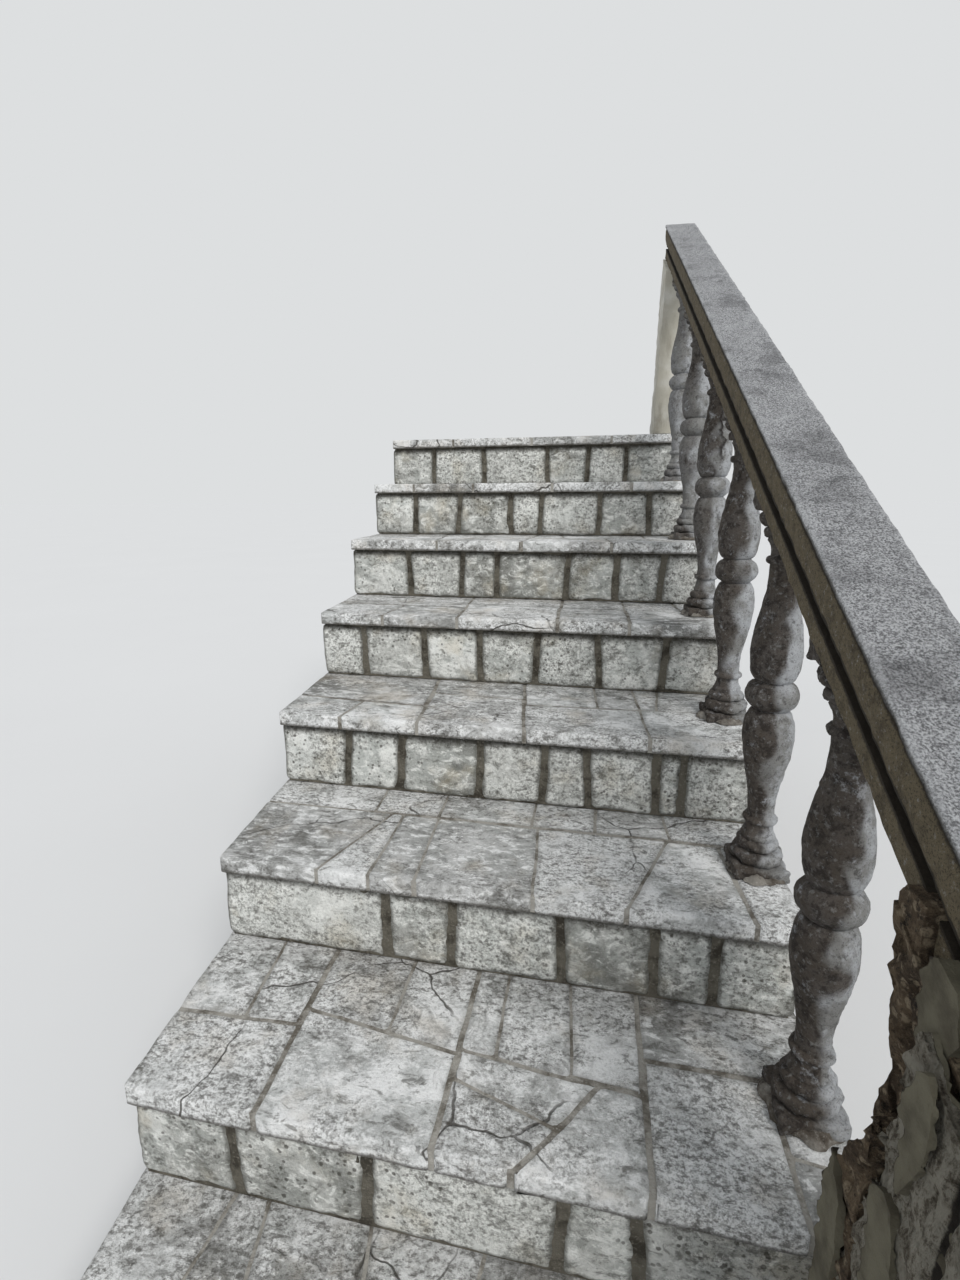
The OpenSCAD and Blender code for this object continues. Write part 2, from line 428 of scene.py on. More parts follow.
def rgb(red, green, blue):
    """A colour given in the usual 0 to 255 values."""
    out = []
    for value in (red, green, blue):
        c = value / 255
        out.append(c / 12.92 if c <= 0.04045 else ((c + 0.055) / 1.055) ** 2.4)
    return (*out, 1.0)


class Finish:
    """A material in the making: its node tree, with helpers that add one layer each."""

    def __init__(self, name):
        self.material = bpy.data.materials.new(name)
        self.material.use_nodes = True
        self.tree = self.material.node_tree
        self.shader = self.tree.nodes["Principled BSDF"]
        self.shader.inputs["IOR"].default_value = 1.5
        self.shader.inputs["Specular IOR Level"].default_value = 0.35
        self.place = self.tree.nodes.new("ShaderNodeTexCoord").outputs["Object"]

    def link(self, a, b):
        self.tree.links.new(a, b)

    def node(self, kind, **values):
        made = self.tree.nodes.new(kind)
        for key, value in values.items():
            setattr(made, key, value)
        return made

    def shifted(self, shift, stretch=(1, 1, 1)):
        mapping = self.node("ShaderNodeMapping")
        mapping.inputs["Location"].default_value = shift
        mapping.inputs["Scale"].default_value = stretch
        self.link(self.place, mapping.inputs["Vector"])
        return mapping.outputs["Vector"]

    def grain(self, size, detail=4, rough=0.6, shift=(0, 0, 0), stretch=(1, 1, 1), warp=0.0):
        """Cloudy noise whose features are about size across."""
        made = self.node("ShaderNodeTexNoise")
        made.inputs["Scale"].default_value = 1 / size
        made.inputs["Detail"].default_value = detail
        made.inputs["Roughness"].default_value = rough
        made.inputs["Distortion"].default_value = warp
        self.link(self.shifted(shift, stretch), made.inputs["Vector"])
        return made.outputs["Fac"]

    def spots(self, size, shift=(0, 0, 0)):
        """Distance from the nearest of many scattered points, in units of size."""
        made = self.node("ShaderNodeTexVoronoi")
        made.inputs["Scale"].default_value = 1 / size
        self.link(self.shifted(shift), made.inputs["Vector"])
        return made.outputs["Distance"]

    def cracks(self, size, width, shift=(0, 0, 0)):
        """Thin wandering lines, about size apart and width wide."""
        bend = self.node("ShaderNodeTexNoise")
        bend.inputs["Scale"].default_value = 1.6 / size
        bend.inputs["Detail"].default_value = 4
        self.link(self.shifted(shift), bend.inputs["Vector"])
        moved = self.node("ShaderNodeVectorMath", operation="MULTIPLY_ADD")
        moved.inputs[1].default_value = (size * 0.45, size * 0.45, size * 0.45)
        self.link(bend.outputs["Color"], moved.inputs[0])
        self.link(self.shifted(shift), moved.inputs[2])
        made = self.node("ShaderNodeTexVoronoi", feature="DISTANCE_TO_EDGE")
        made.inputs["Scale"].default_value = 1 / size
        self.link(moved.outputs["Vector"], made.inputs["Vector"])
        return self.mask(made.outputs["Distance"], width / size, width * 0.3 / size)

    def mask(self, value, low, high):
        made = self.node("ShaderNodeMapRange", interpolation_type="SMOOTHSTEP")
        made.inputs["From Min"].default_value = low
        made.inputs["From Max"].default_value = high
        self.link(value, made.inputs["Value"])
        return made.outputs["Result"]

    def sum(self, a, b, how="MULTIPLY"):
        made = self.node("ShaderNodeMath", operation=how, use_clamp=how == "MULTIPLY")
        for socket, value in zip(made.inputs, (a, b)):
            if isinstance(value, (int, float)):
                socket.default_value = value
            else:
                self.link(value, socket)
        return made.outputs[0]

    def over(self, below, above, share):
        """Lays one colour over another where share says."""
        made = self.node("ShaderNodeMix", data_type="RGBA")
        for socket, value in ((made.inputs[0], share), (made.inputs[6], below), (made.inputs[7], above)):
            if isinstance(value, (int, float, tuple)):
                socket.default_value = value
            else:
                self.link(value, socket)
        return made.outputs[2]

    def painted(self, attribute):
        made = self.node("ShaderNodeAttribute", attribute_name=attribute)
        return made.outputs["Fac"]

    def relief(self, height, depth, below=None):
        made = self.node("ShaderNodeBump")
        made.inputs["Strength"].default_value = 1.0
        made.inputs["Distance"].default_value = depth
        self.link(height, made.inputs["Height"])
        if below:
            self.link(below, made.inputs["Normal"])
        return made.outputs["Normal"]

    def finish(self, colour, normal, rough_low, rough_high, rough_mask):
        self.link(colour, self.shader.inputs["Base Color"])
        self.link(normal, self.shader.inputs["Normal"])
        made = self.node("ShaderNodeMapRange")
        made.inputs["To Min"].default_value = rough_low
        made.inputs["To Max"].default_value = rough_high
        self.link(rough_mask, made.inputs["Value"])
        self.link(made.outputs["Result"], self.shader.inputs["Roughness"])
        return self.material


def limestone(name, pale, mid, dark, warm, lichen_and_shade_colour, specks=0.5, rims=0.5, cracked=0.0, dotted=0.0):
    """Weathered limestone: pale worn patches, grey bloom, and dark lichen in blots and dots. Where the under mask is
    high, the lichen colour is laid as stain and painted shade.
    """
    f = Finish(name)
    clouds = f.grain(0.25, detail=6, rough=0.6, shift=(1, 2, 3))
    patches = f.grain(0.08, detail=8, rough=0.68, shift=(4, 1, 7))
    streaks = f.grain(0.035, detail=8, rough=0.72, shift=(5, 8, 2), stretch=(1, 2, 1.6), warp=0.6)
    ragged = f.grain(0.02, detail=8, rough=0.75, shift=(3, 3, 9))
    grit = f.grain(0.004, detail=4, rough=0.7, shift=(2, 2, 2))
    tone, rim, under = f.painted("tone"), f.painted("rim"), f.painted("under")
    colour = f.over(mid, pale, f.sum(f.mask(patches, 0.43, 0.57), 0.95))
    colour = f.over(colour, dark, f.sum(f.mask(clouds, 0.48, 0.37), 0.6))
    colour = f.over(colour, pale, f.sum(f.mask(tone, 0.5, 1.0), 0.55))
    colour = f.over(colour, dark, f.sum(f.mask(tone, 0.35, 0.0), 0.45))
    colour = f.over(colour, pale, f.sum(f.mask(streaks, 0.5, 0.6), 0.85))
    colour = f.over(colour, dark, f.sum(f.mask(streaks, 0.45, 0.36), 0.7))
    colour = f.over(colour, warm, f.sum(f.mask(f.grain(0.12, detail=6, shift=(9, 4, 4)), 0.5, 0.7), 0.35))
    worn_rim = f.mask(f.sum(rim, f.sum(ragged, 1.2), "ADD"), 1.0, 1.5)
    colour = f.over(colour, dark, f.sum(worn_rim, rims))
    spread = f.grain(0.14, detail=6, rough=0.65, shift=(3, 9, 4))
    spread = f.sum(spread, f.sum(f.mask(tone, 0.45, 0.75), 0.10), "ADD")
    where = f.mask(f.sum(spread, f.sum(under, 0.3), "ADD"), 0.46, 0.62)
    blots = f.mask(f.grain(0.013, detail=9, rough=0.78, shift=(8, 3, 1), stretch=(1, 1.5, 1.2)), 0.48, 0.60)
    fine = f.mask(f.grain(0.005, detail=6, rough=0.72, shift=(6, 6, 1)), 0.47, 0.62)
    colour = f.over(colour, lichen_and_shade_colour, f.sum(f.sum(blots, where), specks))
    thick = f.sum(f.sum(f.mask(spread, 0.44, 0.62), 0.55), 0.06, "ADD")
    colour = f.over(colour, dark, f.sum(fine, thick))
    grime = f.mask(f.grain(0.10, detail=9, rough=0.74, shift=(2, 9, 9), warp=0.8), 0.53, 0.62)
    colour = f.over(colour, dark, f.sum(grime, 0.42))
    if dotted:
        dots = f.mask(f.sum(f.spots(0.015, shift=(6, 2, 8)), f.sum(ragged, 0.5), "ADD"), 0.52, 0.42)
        colour = f.over(colour, lichen_and_shade_colour, f.sum(f.sum(dots, f.mask(clouds, 0.42, 0.56)), dotted))
    # Stain and painted shade in the lichen colour where the under mask is high.
    stained_and_shaded = f.mask(f.sum(under, f.sum(f.sum(ragged, patches, "ADD"), 1.0), "ADD"), 1.4, 1.9)
    colour = f.over(colour, lichen_and_shade_colour, f.sum(stained_and_shaded, 0.8))
    colour = f.over(colour, pale, f.sum(f.mask(grit, 0.56, 0.72), 0.3))
    colour = f.over(colour, dark, f.sum(f.mask(grit, 0.44, 0.32), 0.3))
    normal = f.relief(patches, 0.012)
    normal = f.relief(ragged, 0.005, normal)
    normal = f.relief(grit, 0.0014, normal)
    if cracked:
        lines = f.sum(f.cracks(0.34, 0.0022, shift=(5, 2, 1)), f.mask(f.grain(0.4, shift=(8, 8, 1)), 0.46, 0.56))
        colour = f.over(colour, lichen_and_shade_colour, f.sum(lines, cracked))
        normal = f.relief(f.sum(1.0, lines, "SUBTRACT"), 0.003, normal)
    return f.finish(colour, normal, 0.78, 0.96, patches)


def mortar(name, base, dark, light):
    f = Finish(name)
    clouds = f.grain(0.05, detail=7, rough=0.65)
    grit = f.grain(0.006, detail=5, rough=0.7, shift=(3, 1, 1))
    colour = f.over(base, dark, f.mask(clouds, 0.44, 0.62))
    colour = f.over(colour, light, f.sum(f.mask(grit, 0.52, 0.7), 0.6))
    normal = f.relief(clouds, 0.012)
    normal = f.relief(grit, 0.003, normal)
    return f.finish(colour, normal, 0.85, 0.98, clouds)


def cast_stone(name, pale, mid, dark, growth_and_shade):
    """Cast stone under a bloom of brown lichen, darkest where the mask painted on each baluster says: its left side,
    partly lichen and partly painted shade, and its upper vase, painted shade.
    """
    f = Finish(name)
    clouds = f.grain(0.06, detail=7, rough=0.68)
    mottle = f.grain(0.016, detail=8, rough=0.74, shift=(2, 5, 3))
    flecks = f.grain(0.009, detail=6, rough=0.7, shift=(7, 1, 6))
    grit = f.grain(0.003, detail=4, rough=0.65, shift=(1, 7, 5))
    lichen_and_shade_mask = f.painted("lichen_and_shade_mask")
    colour = f.over(mid, pale, f.sum(f.mask(clouds, 0.42, 0.6), 0.85))
    colour = f.over(colour, dark, f.sum(f.mask(mottle, 0.48, 0.36), 0.6))
    # Brown growth and dark mottle where the mask is high: lichen, and painted shade on the left side and the upper
    # vase.
    edge = f.mask(f.sum(lichen_and_shade_mask, clouds, "ADD"), 0.78, 1.3)
    colour = f.over(colour, growth_and_shade, f.sum(edge, 0.9))
    colour = f.over(colour, dark, f.sum(f.sum(f.mask(mottle, 0.46, 0.6), edge), 0.8))
    colour = f.over(colour, mid, f.sum(f.mask(flecks, 0.54, 0.66), 0.6))
    colour = f.over(colour, pale, f.sum(f.mask(f.grain(0.03, detail=8, rough=0.75, shift=(4, 4, 1)), 0.57, 0.68), 0.6))
    colour = f.over(colour, dark, f.sum(f.painted("crack"), 0.97))
    colour = f.over(colour, dark, f.sum(f.mask(grit, 0.54, 0.66), 0.5))
    normal = f.relief(mottle, 0.006)
    normal = f.relief(flecks, 0.003, normal)
    normal = f.relief(grit, 0.0014, normal)
    return f.finish(colour, normal, 0.78, 0.96, mottle)


def rail_stone(name, top, top_dark, side, side_dark, worn):
    """The rail: grit bare on its top, olive brown growth on its sides, with painted shade under the top edge and in
    the groove.
    """
    f = Finish(name)
    grit = f.grain(0.0026, detail=4, rough=0.7, shift=(3, 3, 1))
    coarse = f.grain(0.007, detail=6, rough=0.7, shift=(5, 1, 8))
    clouds = f.grain(0.12, detail=7, rough=0.62, shift=(1, 5, 2))
    mottle = f.grain(0.025, detail=7, rough=0.7, shift=(8, 2, 1))
    pepper = f.sum(f.sum(grit, 0.75), f.sum(coarse, 0.25), "ADD")
    upper = f.over(top_dark, worn, f.mask(pepper, 0.40, 0.60))
    upper = f.over(upper, top, 0.25)
    upper = f.over(upper, top_dark, f.sum(f.mask(clouds, 0.5, 0.34), 0.45))
    upper = f.over(upper, top_dark, f.sum(f.mask(mottle, 0.44, 0.32), 0.5))
    upper = f.over(upper, worn, f.sum(f.mask(clouds, 0.55, 0.75), 0.3))
    lower = f.over(side, side_dark, f.sum(f.mask(mottle, 0.45, 0.66), 0.45))
    lower = f.over(lower, side_dark, f.sum(f.mask(pepper, 0.50, 0.40), 0.65))
    lower = f.over(lower, worn, f.sum(f.mask(coarse, 0.56, 0.72), 0.35))
    lower = f.over(lower, side_dark, f.sum(f.mask(grit, 0.56, 0.66), 0.6))
    # Dark under the top edge and in the groove: growth, and painted shade in these recesses.
    growth_and_shade = f.mask(f.sum(f.painted("growth_and_shade"), f.sum(coarse, 0.8), "ADD"), 0.9, 1.25)
    lower = f.over(lower, side_dark, f.sum(growth_and_shade, 0.9))
    upper = f.over(upper, worn, f.sum(f.painted("arris"), 0.4))
    colour = f.over(lower, upper, f.painted("top"))
    normal = f.relief(mottle, 0.004)
    normal = f.relief(coarse, 0.003, normal)
    normal = f.relief(grit, 0.0014, normal)
    return f.finish(colour, normal, 0.78, 0.96, coarse)


def old_render(name, base, pale, dark):
    f = Finish(name)
    clouds = f.grain(0.14, detail=6, rough=0.6)
    runs = f.grain(0.05, detail=7, rough=0.65, shift=(2, 1, 0), stretch=(1, 1, 0.25))
    grit = f.grain(0.003, detail=3, shift=(1, 1, 7))
    colour = f.over(base, pale, f.mask(clouds, 0.42, 0.66))
    colour = f.over(colour, dark, f.sum(f.mask(runs, 0.5, 0.72), 0.6))
    colour = f.over(colour, dark, f.sum(f.mask(grit, 0.6, 0.7), 0.35))
    normal = f.relief(runs, 0.006)
    normal = f.relief(grit, 0.0012, normal)
    return f.finish(colour, normal, 0.74, 0.94, clouds)


def broken_render(name, skin, skin_dark, rough_coat, rough_dark, deep):
    """Two coats of render: a smooth skin where it is left, and the rough coat under it. Cracks go deep."""
    f = Finish(name)
    clouds = f.grain(0.06, detail=6, rough=0.6)
    lumps = f.grain(0.010, detail=8, rough=0.78, shift=(3, 1, 6), stretch=(1, 1, 0.4))
    grit = f.grain(0.003, detail=4, shift=(1, 1, 7))
    smooth = f.over(skin, skin_dark, f.mask(clouds, 0.4, 0.66))
    smooth = f.over(smooth, skin_dark, f.sum(f.mask(lumps, 0.6, 0.7), 0.5))
    coarse = f.over(rough_coat, rough_dark, f.mask(lumps, 0.54, 0.42))
    coarse = f.over(coarse, rough_dark, f.sum(f.mask(clouds, 0.5, 0.4), 0.5))
    coarse = f.over(coarse, deep, f.sum(f.mask(lumps, 0.42, 0.34), 0.8))
    coarse = f.over(coarse, rough_coat, f.sum(f.mask(grit, 0.5, 0.65), 0.5))
    left = f.mask(f.sum(f.painted("skin"), f.sum(lumps, 0.5), "ADD"), 0.70, 0.78)
    colour = f.over(coarse, smooth, left)
    split = f.mask(f.sum(f.painted("crack"), f.sum(lumps, 0.6), "ADD"), 0.85, 1.0)
    colour = f.over(colour, deep, f.sum(split, 0.97))
    normal = f.relief(f.sum(lumps, f.sum(1.0, left, "SUBTRACT")), 0.012)
    normal = f.relief(left, 0.004, normal)
    normal = f.relief(grit, 0.001, normal)
    return f.finish(colour, normal, 0.72, 0.96, lumps)


def broken_masonry(name, base, dark, pale, deep):
    """Crumbling brown mortar with paler bits of stone in it."""
    f = Finish(name)
    clouds = f.grain(0.05, detail=7, rough=0.65)
    lumps = f.grain(0.012, detail=8, rough=0.75, shift=(3, 1, 6))
    bits = f.spots(0.013, shift=(4, 2, 7))
    grit = f.grain(0.004, detail=4, rough=0.7, shift=(1, 6, 7))
    colour = f.over(base, dark, f.mask(clouds, 0.42, 0.6))
    colour = f.over(colour, pale, f.sum(f.sum(f.mask(bits, 0.46, 0.30), f.mask(lumps, 0.42, 0.54)), 0.8))
    colour = f.over(colour, deep, f.sum(f.mask(lumps, 0.47, 0.36), 0.95))
    colour = f.over(colour, pale, f.sum(f.mask(grit, 0.54, 0.68), 0.5))
    colour = f.over(colour, deep, f.sum(f.mask(grit, 0.46, 0.34), 0.6))
    normal = f.relief(lumps, 0.014)
    normal = f.relief(bits, -0.004, normal)
    normal = f.relief(grit, 0.0025, normal)
    return f.finish(colour, normal, 0.86, 0.98, clouds)


FLAG_STONE = limestone("flag_stone", rgb(252, 253, 253), rgb(208, 210, 209), rgb(98, 97, 92),
                       rgb(190, 176, 154), rgb(70, 66, 59), specks=0.75, rims=0.28, cracked=0.85, dotted=0.25)
BLOCK_STONE = limestone("block_stone", rgb(246, 247, 243), rgb(200, 203, 199), rgb(108, 108, 102),
                        rgb(196, 182, 152), rgb(58, 54, 45), specks=0.7, rims=0.85, dotted=0.75)
WALL_STONE = limestone("wall_stone", rgb(200, 201, 202), rgb(162, 162, 162), rgb(120, 119, 116),
                       rgb(166, 160, 148), rgb(86, 85, 82), specks=0.5, rims=0.5)
FLAG_MORTAR = mortar("flag_mortar", rgb(164, 161, 154), rgb(104, 99, 90), rgb(198, 196, 190))
DARK_MORTAR = mortar("dark_mortar", rgb(102, 98, 88), rgb(60, 56, 48), rgb(146, 141, 130))
WALL_MORTAR = mortar("wall_mortar", rgb(132, 128, 119), rgb(88, 84, 76), rgb(164, 159, 147))
# The growth colour is dark brown: lichen, darkened further as painted shade.
CAST_STONE = cast_stone("cast_stone", rgb(186, 189, 193), rgb(136, 136, 134), rgb(40, 34, 30), rgb(72, 63, 54))
BED_MORTAR = mortar("bed_mortar", rgb(132, 128, 121), rgb(80, 73, 65), rgb(170, 167, 160))
RAIL_STONE = rail_stone("rail_stone", rgb(140, 141, 143), rgb(64, 64, 66), rgb(108, 98, 78), rgb(36, 30, 23),
                        rgb(198, 200, 203))
POST_RENDER = old_render("post_render", rgb(186, 182, 169), rgb(210, 208, 200), rgb(122, 112, 94))
# The smooth skin's colours are darker than the skin's own: partly painted shade of the pier.
PIER_RENDER = broken_render("pier_render_coat", rgb(100, 96, 81), rgb(70, 65, 53), rgb(162, 157, 144),
                            rgb(96, 88, 75), rgb(34, 27, 20))
PIER_CORE = broken_masonry("pier_core_masonry", rgb(112, 96, 76), rgb(70, 57, 43), rgb(164, 149, 126),
                           rgb(30, 24, 18))


# The flight


# Joint lines of the flags, from the tread ends (u) and from the nosing (v)
FLAG_CUTS = {
    1: [((0, 0.20), (1.1, 0.18)), ((0.24, 0), (0.26, 0.2)), ((0.56, 0), (0.53, 0.2)), ((0.80, 0), (0.83, 0.2)),
        ((0.38, 0.2), (0.36, 0.45)), ((0.66, 0.2), (0.70, 0.45)), ((0.93, 0.2), (0.90, 0.45))],
    2: [((0.284, 0), (0.270, 0.45)), ((0.582, 0), (0.560, 0.45)), ((0.858, 0), (0.855, 0.45)),
        ((0, 0.215), (0.27, 0.215)), ((0.090, 0), (0.088, 0.215)), ((0.27, 0.150), (0.57, 0.176)),
        ((0.575, 0.168), (0.857, 0.205)), ((0.390, 0.17), (0.395, 0.45)), ((0.512, 0.17), (0.505, 0.45)),
        ((0.70, 0.2), (0.69, 0.45)), ((0.857, 0.17), (1.2, 0.15)), ((0.96, 0.17), (0.98, 0.45)),
        ((0, 0.09), (0.09, 0.10)), ((0.352, 0.148), (0.468, 0.0)), ((0.415, 0.075), (0.570, 0.120))],
    3: [((0, 0.25), (1.2, 0.245)), ((0.085, 0), (0.100, 0.25)), ((0.300, 0), (0.200, 0.25)),
        ((0.466, 0), (0.470, 0.25)), ((0.690, 0), (0.694, 0.25)), ((0.782, 0), (0.775, 0.25)),
        ((0.888, 0), (0.800, 0.25)), ((0.194, 0.25), (0.20, 0.45)), ((0.350, 0.25), (0.34, 0.45)),
        ((0.485, 0.25), (0.48, 0.45)), ((0.697, 0.25), (0.69, 0.45)), ((0.845, 0.25), (0.85, 0.45)),
        ((0, 0.15), (0.09, 0.155))],
    4: [((0.510, 0), (0.548, 0.45)), ((0.235, 0), (0.240, 0.19)), ((0.765, 0), (0.79, 0.45)),
        ((0, 0.205), (0.50, 0.185)), ((0.342, 0.19), (0.35, 0.45)), ((0.20, 0.2), (0.17, 0.45)),
        ((0.53, 0.225), (0.78, 0.235)), ((0.775, 0.12), (1.2, 0.15)), ((0.96, 0), (0.94, 0.13))],
    5: [((0, 0.215), (0.262, 0.215)), ((0.262, 0), (0.258, 0.45)), ((0.450, 0), (0.446, 0.45)),
        ((0.446, 0.25), (0.73, 0.25)), ((0.730, 0), (0.74, 0.45)), ((0.74, 0.17), (1.2, 0.19)),
        ((0.95, 0), (0.93, 0.18)), ((0.26, 0.13), (0.45, 0.12)), ((0.10, 0.215), (0.11, 0.45))],
    6: [((0, 0.22), (1.25, 0.20)), ((0.30, 0), (0.31, 0.22)), ((0.58, 0), (0.56, 0.22)), ((0.86, 0), (0.88, 0.22)),
        ((0.18, 0.22), (0.17, 0.45)), ((0.45, 0.22), (0.47, 0.45)), ((0.74, 0.22), (0.72, 0.45)),
        ((1.0, 0.2), (1.02, 0.45))],
    7: [((0, 0.19), (1.25, 0.21)), ((0.22, 0), (0.23, 0.2)), ((0.50, 0), (0.52, 0.2)), ((0.79, 0), (0.78, 0.2)),
        ((1.02, 0), (1.0, 0.2)), ((0.36, 0.2), (0.35, 0.45)), ((0.63, 0.2), (0.65, 0.45)), ((0.9, 0.2), (0.92, 0.45))],
    8: [((0, 0.21), (1.3, 0.18)), ((0, 0.42), (1.3, 0.40)), ((0.28, 0), (0.27, 0.2)), ((0.60, 0), (0.62, 0.2)),
        ((0.93, 0), (0.91, 0.2)), ((0.40, 0.2), (0.42, 0.42)), ((0.75, 0.2), (0.74, 0.41)), ((1.05, 0.2), (1.07, 0.4)),
        ((0.22, 0.42), (0.24, 0.7)), ((0.58, 0.42), (0.56, 0.7)), ((0.88, 0.4), (0.89, 0.7))],
}

# Seeds that give the flags in view their own tones
FLAG_SEEDS = {2: 1344}

# Joints of the riser blocks, from the tread ends, each with its lean from foot to head
BLOCK_JOINTS = {
    1: (0.21, 0.43, 0.60, 0.83),
    2: (0.294, 0.400, 0.686, 0.906),
    3: (0.145, 0.247, 0.414, 0.620, 0.752),
    4: (0.160, 0.213, 0.366, 0.466, 0.616, 0.811, 0.947),
    5: (0.168, 0.339, 0.508, 0.666, 0.827, 1.011),
    6: (0.142, 0.279, 0.432, 0.662, 0.778, 0.958),
    7: (0.154, 0.328, 0.539, 0.650, 0.848, 1.018),
    8: (0.220, 0.371, 0.535, 0.802, 1.018),
}


def bed(node, name, inset, slot, material, flat_too=True):
    """Mortar under the stones of a course: the course's own solid, cut back on its outer faces."""
    piece = copy_of(node, name)
    mesh = piece.data
    planes = []
    for face in mesh.polygons:
        outer = all(face.normal.dot(v.co - face.center) < 1e-5 for v in mesh.vertices)
        if outer and face.normal.z > -0.5 and (flat_too or face.normal.z < 0.5):
            planes.append((face.center - face.normal * inset, face.normal.copy()))
    edit(piece)
    for at, normal in planes:
        bpy.ops.mesh.select_all(action="SELECT")
        bpy.ops.mesh.bisect(plane_co=at, plane_no=normal, use_fill=True, clear_outer=True)
    leave()
    return settle(piece, material, slot)


def flags(level, node, depth_of_course):
    """Flagstones of one tread."""
    y = nosing_y(level)
    far_front, far_back = far_u(y), far_u(y + depth_of_course)
    outline = [(0, 0), (far_front, 0), (far_back, depth_of_course), (0, depth_of_course)]
    grid = NEAR_GRID if level in NEAR_LEVELS else FAR_GRID
    piece = stone_panel(f"{node}_flags", outline, FLAG_CUTS[level], FLAG_JOINT, TREAD_T - 0.004, FLAG_ROUND,
                        grid, seed=FLAG_SEEDS.get(level, level), relief=0.0007, uneven=0.0009, side_steps=3)
    # Painted dark: the lower part of each flag's front edge, stain and painted shade under the nosing, and more
    # lightly the back of the tread toward the next riser's foot.
    foot_of_riser = lambda co: 0.55 * step_between(GOING - 0.12, GOING - 0.02, co.y) if level < STEPS else 0.0
    paint(piece, "under", lambda co: max(step_between(-0.020, -0.030, co.z), foot_of_riser(co)))
    for vertex, rim in zip(piece.data.vertices, piece.data.attributes["rim"].data):
        rim.value *= step_between(0.004, 0.016, vertex.co.y)
    place(piece, (-1, SKEW, 0), (0, 1, 0), (0, 0, 1), (EDGE_X, y, level_z(level)))
    settle(piece, FLAG_STONE, "flagstone", node)
    bed(node, f"{node}_bed", 0.0032, "flagstone", FLAG_MORTAR)


def blocks(level):
    """Stone blocks of one riser."""
    node = f"riser_{level}"
    rng = random.Random(level * 11)
    y = nosing_y(level) + NOSING_OVER
    width = far_u(y)
    height = RISE - TREAD_T
    cuts = []
    for u in BLOCK_JOINTS[level]:
        lean = rng.uniform(-0.006, 0.006)
        cuts.append(((u - lean, 0), (u + lean, height)))
    start = WALL_X - EDGE_X
    outline = [(-start, 0.001), (width, 0.001), (width, height - 0.001), (-start, height - 0.001)]
    grid = NEAR_GRID if level in NEAR_LEVELS else FAR_GRID
    piece = stone_panel(f"{node}_blocks", outline, cuts, BLOCK_JOINT, BLOCK_DEPTH, BLOCK_ROUND, grid,
                        seed=level + 20, corner=0.010, relief=0.0025, relief_size=0.03, bulge=0.003, wobble=0.006)
    # Painted dark at the blocks' top, under the nosing, and toward the balustrade end: stain and painted shade.
    paint(piece, "under", lambda co: max(step_between(height - 0.05, height, co.y), 0.6 * step_between(0.36, 0.05, co.x)))
    place(piece, (-1, SKEW, 0), (0, 0, 1), (0, -1, 0), (EDGE_X, y, level_z(level - 1)))
    settle(piece, BLOCK_STONE, "block_stone", node)
    bed(node, f"{node}_bed", MORTAR_IN, "block_stone", DARK_MORTAR, flat_too=False)


def rubble_cuts(width, courses, seed, least=0.14, most=0.30):
    """Joint lines of coursed rubble: beds at the given heights, and upright joints at uneven steps."""
    rng = random.Random(seed)
    cuts = [((-0.05, h), (width + 0.05, h + rng.uniform(-0.004, 0.004))) for h in courses[1:-1]]
    for low, high in zip(courses, courses[1:]):
        at = rng.uniform(0.3, 1.0) * most
        while at < width - least * 0.5:
            lean = rng.uniform(-0.012, 0.012)
            cuts.append(((at - lean, low + 0.004), (at + lean, high - 0.004)))
            at += rng.uniform(least, most)
    return cuts


def course_heights(top, seed):
    """Two courses of stones to each step's height."""
    rng = random.Random(seed)
    heights = [0.0]
    for level in range(1, STEPS + 1):
        base, head = heights[-1], level_z(level) - TREAD_T
        if head > top + 0.001:
            break
        split = base + (head - base) * rng.uniform(0.42, 0.58)
        heights += [split, head]
    return heights


def side_stones():
    """Rubble on the open side, under the balustrade."""
    lo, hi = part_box("side_wall")
    heights = course_heights(hi.z, 5)
    width = hi.y - lo.y
    ends = [(nosing_y(k) + NOSING_OVER + RISER_T - lo.y, level_z(k) - TREAD_T, level_z(k - 1) - TREAD_T)
            for k in range(2, STEPS + 1)]
    cuts = rubble_cuts(width, heights, 31)
    cuts += [((end, low + 0.002), (end, high - 0.002)) for end, high, low in ends]

    def within(at):
        return all(at.x > end or at.y < low + 0.004 for end, high, low in ends)

    outline = [(0, 0), (width, 0), (width, heights[-1]), (0, heights[-1])]
    piece = stone_panel("side_wall_stones", outline, cuts, RUBBLE_JOINT, RUBBLE_DEPTH, RUBBLE_ROUND, 0.06,
                        seed=41, corner=0.02, wobble=0.012, keep=within, relief=0.004, relief_size=0.07, bulge=0.006, uneven=0.003)
    place(piece, (0, 1, 0), (0, 0, 1), (1, 0, 0), (WALL_X, lo.y, 0))
    settle(piece, WALL_STONE, "rubble", "side_wall")
    bed("side_wall", "side_wall_mortar", WALL_MORTAR_IN, "rubble", WALL_MORTAR)


